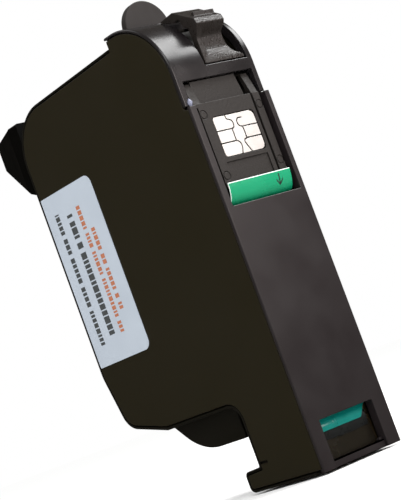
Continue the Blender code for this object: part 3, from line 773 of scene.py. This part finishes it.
def frame_outline():
    """Side outline of the pen's frame, from the snout up and round to the foot."""
    return rounded(
        [
            (FRAME.front, 0.0, 0.3),
            (FRAME.front, 19.0, 0.5),
            (3.9, 20.0, 0.5),
            (3.9, 94.3, 11.9),
            (FRAME.rear, 92.8, 11.3),
            (FRAME.rear, 33.0, 8.5),
            (55.0, 20.7, 4.8),
            (42.2, 17.6, 1.0),
            (18.2, 17.6, 3.2),
            (18.2, 4.6, 0.5),
            (23.2, 4.4, 1.1),
            (23.2, 0.0, 1.4),
        ]
    )


def cover_outline(margin=0.0):
    """Outline of a side cover, or of its seat in the frame with a margin."""
    m = margin
    return rounded(
        [
            (0.85 - m, 0.8 - m, 0.3),
            (0.85 - m, 74.5 + m, 0.3),
            (2.1 - m, 74.9 + m, 0.3),
            (2.1 - m, 95.45 + m, 13.3 + m),
            (17.05 + m, 95.45 + m, 0.3),
            (17.05 + m, 93.1 + m, 0.3),
            (56.9 + m, 92.05 + m, 10.5 + m),
            (56.9 + m, 33.0, 8.0 + m),
            (54.2 + m, 21.4 - m, 4.0 + m),
            (42.0, 18.5 - m, 1.0),
            (17.35 + m, 18.5 - m, 4.0 - m),
            (17.35 + m, 3.9 + m, 0.3),
            (22.4 + m, 3.6 + m, 0.6),
            (22.4 + m, 0.8 - m, 0.8),
        ]
    )


def pen_frame(finish):
    """Frame round the reservoir, with the snout, the foot and the hump under the body."""
    frame_body = plate("pen_frame_moulding", "side", frame_outline(), FRAME.left, FRAME.right)
    opening_outline = rounded(
        [
            (5.6, 20.2, 2.0),
            (5.6, 92.5, 10.3),
            (56.0, 91.1, 9.8),
            (56.0, 33.0, 8.0),
            (53.6, 22.6, 3.6),
            (42.0, 19.9, 1.0),
            (17.0, 19.9, 1.0),
        ]
    )
    opening = plate("cut_reservoir", "side", opening_outline, -BEYOND, BEYOND)
    seats = [
        plate("cut_seat", "side", cover_outline(0.25), low, high)
        for low, high in ((-BEYOND, -BODY_HALF), (BODY_HALF, BEYOND))
    ]
    carved(frame_body, opening, *seats)
    hump_outline = rounded([(20.8, 10.9, 0.8), (35.2, 10.9, 14.0), (43.2, 18.8, 0.0), (20.8, 18.8, 0.0)])
    hump = plate("hump", "side", hump_outline, -9.0, 9.0)
    neck = brick(-6.5, 6.5, 17.5, 22.0, 10.9, 18.8)
    tower = brick(-3.5, 3.5, 7.0, 14.0, 19.0, 24.2)
    welded(frame_body, hump, neck, tower)
    channel = brick(-1.6, 1.6, 8.6, 12.4, -PAST, 23.2)
    inlet = brick(-6.0, 6.0, 8.2, 12.8, 20.6, 23.2)
    nose = brick(-8.0, 8.0, 1.0, 17.4, -PAST, 1.5)
    die_seat = brick(-2.4, 2.4, 3.5, 16.8, 0.0, 2.3)
    port = drum("top", 0.0, 28.0, 1.6, 9.0, 22.0)
    carved(frame_body, channel, inlet, nose, die_seat, port)
    return fitted(frame_body, finish, "body", replaced="pen_frame", edge=0.2)


def side_cover(side, finish):
    """Flat painted sheet, with a short slit at the foot's heel."""
    span = Span(f"side_cover_{side}")
    cover = plate(f"side_cover_{side}_sheet", "side", cover_outline(), span.left, span.right)
    slit_outline = rounded([(15.0, 5.1, 0.24), (18.5, 5.1, 0), (18.5, 5.6, 0), (15.0, 5.6, 0.24)])
    carved(cover, plate("cut_slit", "side", slit_outline, -BEYOND, BEYOND))
    return fitted(cover, finish, "body", replaced=f"side_cover_{side}", edge=0.14)


def lofted(name, sections):
    """A closed body through rounded box sections: (depth, half width, bottom, top, corner radius)."""
    shape = bmesh.new()
    rings = []
    for depth, half, bottom, top, radius in sections:
        outline = rounded(box_outline(-half, half, bottom, top, radius))
        rings.append([shape.verts.new(place("front", x, height, depth)) for x, height in outline])
    for first, second in zip(rings, rings[1:]):
        for index in range(len(first)):
            after = (index + 1) % len(first)
            shape.faces.new((first[index], first[after], second[after], second[index]))
    shape.faces.new(rings[0])
    shape.faces.new(list(reversed(rings[-1])))
    return shown(name, shape)


def handle(finish):
    """Grip behind the frame: a short straight root, then a taper with broken edges to a blunt tip."""
    half = HANDLE.right
    bottom, top, tip = HANDLE.bottom, HANDLE.top, HANDLE.rear
    grip = lofted(
        "handle_grip",
        [
            (HANDLE.front, half, bottom, top, 0.7),
            (61.4, half, bottom + 1.6, top, 0.7),
            (61.9, half - 0.15, bottom + 1.9, top - 0.05, 0.8),
            (tip - 0.5, 5.9, 84.9, 91.9, 0.8),
            (tip - 0.12, 5.6, 85.15, 91.75, 0.8),
            (tip, 5.1, 85.6, 91.3, 0.8),
        ],
    )
    return fitted(grip, finish, "body", replaced="handle", edge=0.1)


def bow_spring(finish):
    """Bowed hoop of strip between the piston plates."""
    span = Span("bow_spring")
    loops = []
    for inset in (0.0, SPRING_STRIP):
        sides = (span.left + inset, span.right - inset, span.front + inset, span.rear - inset)
        loops.append(rounded(box_outline(*sides, sides[1] * 0.96)))
    hoop = plate("bow_spring_strip", "top", loops[0], span.bottom, span.top)
    carved(hoop, plate("cut_hoop", "top", loops[1], span.bottom - PAST, span.top + PAST))
    fitted(hoop, finish, "body", replaced="bow_spring")
    middle = place("top", 0.0, (span.front + span.rear) / 2, (span.bottom + span.top) / 2)
    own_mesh(hoop)


# Flexible circuit


def flex_circuit(film, copper):
    """Film bent under the snout round the die, and the copper lines that fan out up its front."""
    profile = rounded(
        [
            (2.7, FLEX.top, 0.0),
            (FLEX.front, FLEX.top, 0.0),
            (FLEX.front, FLEX.bottom, 0.4),
            (FLEX.rear, FLEX.bottom, 0.0),
            (FLEX.rear, FLEX.bottom + FLEX_THICK, 0.0),
            (2.7, FLEX.bottom + FLEX_THICK, 0.25),
        ]
    )
    strip = plate("flex_circuit_film", "side", profile, FLEX.left, FLEX.right)
    carved(strip, brick(-2.1, 2.1, 4.0, 16.4, 0.0, 2.0))
    fitted(strip, film, "body", replaced="flex_circuit")
    traces = None
    last = TRACE_COUNT - 1
    for index in range(TRACE_COUNT):
        low = -3.4 + 6.8 * index / last
        high = -6.6 + 13.2 * index / last
        turn = 2.2 + 0.5 * abs(index - last / 2)
        corners = [(low, 1.3, 0), (low, turn, 0.4), (high, turn + 2.6, 0.4), (high, FLEX.top - 0.6, 0)]
        outline = ribbon(corners, TRACE_WIDTH)
        line = plate("flex_traces", "front", outline, FLEX.front - 0.035, FLEX.front - 0.002)
        if traces is None:
            traces = line
            continue
        shape = bmesh.new()
        shape.from_mesh(traces.data)
        shape.from_mesh(line.data)
        shape.to_mesh(traces.data)
        shape.free()
        bpy.data.objects.remove(line, do_unlink=True)
    return fitted(traces, copper, "body")


# Camera, floor and light


CAMERA_PLACE = (-0.22478, -0.27545, 0.02039)
CAMERA_TURN = (95.255, 20.242, -38.615)  # degrees
LENS = 120.7
SENSOR = 36.0
SURROUND_STRENGTH = 1.0
REFLECTED_STRENGTH = 0.10


def studio():
    """Camera, plain pale floor, even white surroundings and four softboxes."""
    scene = bpy.context.scene
    scene.view_settings.view_transform = "Standard"
    camera = bpy.data.objects.new("camera", bpy.data.cameras.new("camera"))
    camera.location = CAMERA_PLACE
    camera.rotation_euler = [math.radians(turn) for turn in CAMERA_TURN]
    camera.data.lens = LENS
    camera.data.sensor_width = SENSOR
    camera.data.clip_start = 0.01
    camera.data.clip_end = 20.0
    scene.collection.objects.link(camera)
    scene.camera = camera

    ground = bmesh.new()
    bmesh.ops.create_grid(ground, x_segments=1, y_segments=1, size=3.0)
    floor = shown("floor", ground)
    floor.location.z = cad_low.z - 0.0005
    floor.data.materials.append(pale_floor())
    floor.visible_glossy = False

    world = bpy.data.worlds.new("studio")
    world.use_nodes = True
    scene.world = world
    tree = world.node_tree
    tree.nodes.clear()
    ray = add(tree, "ShaderNodeLightPath")
    white = add(tree, "ShaderNodeBackground", {"Color": linear("#ffffff"), "Strength": SURROUND_STRENGTH})
    dim = add(tree, "ShaderNodeBackground", {"Color": linear("#fff4e4"), "Strength": REFLECTED_STRENGTH})
    # Reflections see dim surroundings, so that the black mouldings stay black.
    choice = {0: ray.outputs["Is Glossy Ray"], 1: white.outputs[0], 2: dim.outputs[0]}
    both = add(tree, "ShaderNodeMixShader", choice)
    add(tree, "ShaderNodeOutputWorld", {"Surface": both.outputs[0]})

    softboxes = (
        # name, aimed at, direction from there, distance, width, height, watts, colour
        ("key_softbox", (0.0, -0.030, 0.088), (0.653, -0.330, 0.680), 0.60, 0.34, 0.24, 2.3, "#ffffff"),
        ("front_softbox", (-0.058, -0.071, 0.108), (0.64, -0.76, 0.0), 0.19, 0.10, 0.10, 0.16, "#fff3f0"),
        ("edge_softbox", (0.0, -0.030, 0.090), (-0.43, -0.62, 0.56), 0.50, 0.16, 0.16, 0.9, "#ffffff"),
        ("top_softbox", (0.0, 0.0, 0.05), (-0.2, 0.5, 1.0), 0.8, 0.5, 0.5, 0.8, "#ffffff"),
    )
    for name, aim, towards, distance, width, height, watts, tint in softboxes:
        lamp = bpy.data.lights.new(name, "AREA")
        lamp.shape = "RECTANGLE"
        lamp.size = width
        lamp.size_y = height
        lamp.energy = watts
        lamp.color = linear(tint)[:3]
        holder = bpy.data.objects.new(name, lamp)
        direction = Vector(towards).normalized()
        holder.location = Vector(aim) + direction * distance
        holder.rotation_euler = direction.to_track_quat("Z", "Y").to_euler()
        holder.visible_camera = False
        scene.collection.objects.link(holder)


def pale_floor():
    # Matt white board: even and pale, so that the object's own colours read true.
    matt = {"Specular_IOR_Level": 0.0}
    return moulded("floor_board_matt", "#fcfcfb", "#ffffff", 60.0, (0.9, 1.0), 2.0, 0.01, **matt)


# Each finish below has its name, two near colours, the size of its clouds, its range of roughness,
# the size of its grain and the grain's depth.


def build():
    """Makes the pieces that show, then gives the rest their finishes."""
    # Black ABS, injection moulded in a fine sparked tool: a soft grey sheen over near black.
    satin_abs = moulded("abs_black_satin", "#1c1718", "#241f20", 9.0, (0.30, 0.42), 0.22, 0.004)
    # The same ABS where the tool is polished: a clear highlight along the round corner.
    gloss_abs = moulded("abs_black_polished", "#161415", "#1d1a1b", 6.0, (0.20, 0.30), 0.5, 0.002)
    # The same ABS on the tab, worn matt by thumbs: brown grey, with no highlight.
    matt_abs = moulded("abs_black_matt", "#1f1a18", "#2a2422", 3.0, (0.55, 0.7), 0.18, 0.008)
    # The same ABS in a coarse sparked tool: it sparkles where light grazes it.
    sparked_abs = moulded("abs_black_sparked", "#1a1614", "#2a2522", 0.7, (0.22, 0.46), 0.35, 0.09)
    # Charcoal ABS, moulded without polish: even dark grey.
    charcoal_abs = moulded("abs_charcoal_moulded", "#1a1714", "#26211d", 0.9, (0.45, 0.6), 0.45, 0.05)
    # Glass-filled polyester, moulded: olive black with a dry sheen.
    glass_filled = moulded(
        "pbt_glass_filled_black", "#0c0a04", "#151208", 5.0, (0.4, 0.55), 0.2, 0.006, Specular_IOR_Level=0.25
    )
    # The same polyester on the handle, in a coarser tool: almost no sheen. Its nearly black colour, darker
    # than the frame's, is painted shade.
    handle_shaded_black = moulded(
        "pbt_glass_filled_coarse_shaded", "#030201", "#060502", 3.0, (0.6, 0.75), 0.3, 0.02, Specular_IOR_Level=0.1
    )
    # Steel sheet with baked black paint: flat olive black, very even.
    painted = moulded("steel_painted_black", "#1c1701", "#221c03", 18.0, (0.42, 0.5), 0.35, 0.002)
    # Nickel plate over copper foil: silvery white, nearly even.
    nickel = moulded("nickel_plated_foil", "#fbfbf6", "#ffffff", 2.5, (0.40, 0.50), 0.3, 0.001, Metallic=1.0)
    # Dyed polyester tape: clear emerald with a soft gloss.
    green = moulded("polyester_tape_green", "#0c865c", "#0f9065", 6.0, (0.22, 0.3), 2.0, 0.004)
    # The same tape where it lies deep in the window: darker and bluer, its darkness painted shade; glossier,
    # with slow ripples.
    shaded_teal = moulded("polyester_tape_shaded_teal", "#04655c", "#0c746c", 3.0, (0.16, 0.24), 1.0, 0.006)
    # The tape's slit edge: pale, because the cut scatters light.
    core = moulded("polyester_cut_edge", "#d8eee4", "#eef8f2", 1.0, (0.4, 0.5), 0.4, 0.002)
    # Screen-printed ink on the tape: dull greenish black.
    ink = moulded("ink_screen_black", "#1c2420", "#26302b", 1.0, (0.5, 0.6), 0.2, 0.001)
    # Cast vinyl film over the nozzles: clear, with a faint brown tint and a gloss.
    clear = moulded(
        "pvc_film_clear", "#4a4233", "#584f3e", 4.0, (0.2, 0.3), 1.5, 0.003, Transmission_Weight=0.9, IOR=1.5
    )
    # The same film where pulling has stretched it: smoky, with soft ripples.
    milky = moulded("pvc_film_stretched", "#0f100f", "#1a1d1e", 1.6, (0.25, 0.4), 0.5, 0.01)
    # Clay-coated label paper: pale blue grey and almost matt.
    paper = moulded("paper_coated_label", "#a6afba", "#aeb7c1", 6.0, (0.45, 0.55), 0.15, 0.002)
    # Printed slate ink: soft dark grey that varies a little from block to block.
    dark_print = moulded("ink_printed_slate", "#2f3436", "#4d5152", 0.5, (0.5, 0.6), 0.2, 0.001)
    # Printed orange ink: dull brick orange, thin enough for the paper to cool it.
    orange_print = moulded("ink_printed_orange", "#a05a3c", "#b87452", 0.5, (0.5, 0.6), 0.2, 0.001)
    # Cast polyimide film over the snout: dark amber brown, smooth and satin.
    polyimide = moulded("polyimide_film", "#201809", "#2c2110", 2.0, (0.3, 0.4), 0.8, 0.003)
    # Etched copper seen through the polyimide: lighter brown lines.
    copper = moulded("copper_under_polyimide", "#3e3017", "#4c3c1e", 1.0, (0.3, 0.4), 0.3, 0.002)
    # Pale blue white, glossy bead: its colour is a painted highlight.
    highlight_bead_finish = moulded("abs_painted_highlight_bead", "#6f7288", "#a3a6b8", 0.8, (0.1, 0.2), 0.6, 0.01)

    front_cover(satin_abs)
    crown(gloss_abs)
    thumb_tab(matt_abs)
    rail_highlight_bead(highlight_bead_finish)
    latch(sparked_abs)
    chip_carrier(charcoal_abs)
    chip_contacts(nickel)
    pull_tab(green, core)
    tab_arrow(ink)
    pull_tape(shaded_teal)
    nozzle_tape(clear, milky)
    label(paper, dark_print, orange_print)
    pen_frame(glass_filled)
    for side in ("left", "right"):
        side_cover(side, painted)
    handle(handle_shaded_black)
    flex_circuit(polyimide, copper)
    dress_inside()


def dress_inside():
    """Makes the spring, and gives the CAD pieces that stay as they are their finishes."""
    # Glass-epoxy board: dark olive and dull.
    board = moulded("glass_epoxy_board", "#0b0c09", "#12140f", 0.6, (0.5, 0.6), 0.2, 0.002)
    # Epoxy potted over the silicon: black, with a soft gloss.
    potting = moulded("epoxy_black_potting", "#0c0c0c", "#141414", 1.0, (0.25, 0.35), 0.5, 0.002)
    # Undyed polyethylene, moulded: waxy off-white.
    waxy = moulded("polyethylene_natural", "#c9c9c2", "#d8d8d2", 5.0, (0.45, 0.6), 0.5, 0.01)
    # Stainless strip and sheet, cold rolled: even grey with a fine grain.
    rolled = moulded(
        "stainless_cold_rolled", "#a9a9a6", "#b9b9b7", 2.0, (0.22, 0.32), 0.3, 0.002, Metallic=1.0
    )
    # Stainless ball, ground and tumbled: a clean small highlight.
    ground = moulded("stainless_ground", "#b4b4b2", "#c4c4c2", 1.0, (0.08, 0.14), 0.3, 0.0005, Metallic=1.0)
    # Stainless screen, woven: its wires are too fine to see apart, so it shows as a dull grain.
    woven = moulded(
        "stainless_screen_woven", "#6f6e6b", "#9c9b97", 0.3, (0.35, 0.5), 0.15, 0.02, Metallic=1.0
    )
    # Laminated film: cloudy, with soft creases.
    bag = moulded("laminated_film_creased", "#a5a49c", "#bcbbb4", 6.0, (0.2, 0.32), 4.0, 0.08)
    # Silicon, polished: dark blue grey and mirror smooth.
    silicon = moulded("silicon_polished", "#30323c", "#383b46", 1.5, (0.05, 0.1), 0.5, 0.0002, Metallic=1.0)
    # Nickel sheet with gold plating: pale yellow and fine grained.
    gold = moulded("gold_plated_nickel", "#c9a052", "#d8b266", 1.0, (0.2, 0.3), 0.2, 0.0006, Metallic=1.0)
    # Epoxy over the bonds, poured: glossy black with a slow ripple.
    resin = moulded("epoxy_black_poured", "#09090a", "#101011", 0.8, (0.12, 0.2), 0.6, 0.006)
    bow_spring(rolled)
    inner = {"chip_substrate": board, "chip_potting": potting, "inner_frame": waxy, "fill_ball": ground}
    inner |= {"printhead_die": silicon, "nozzle_plate": gold}
    for side in ("left", "right"):
        inner |= {f"piston_plate_{side}": rolled, f"filter_screen_{side}": woven, f"membrane_{side}": bag}
    for end in ("front", "rear"):
        inner[f"encapsulant_{end}"] = resin
    for node, finish in inner.items():
        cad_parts[node].data.materials.clear()
        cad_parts[node].data.materials.append(finish)


build()
studio()
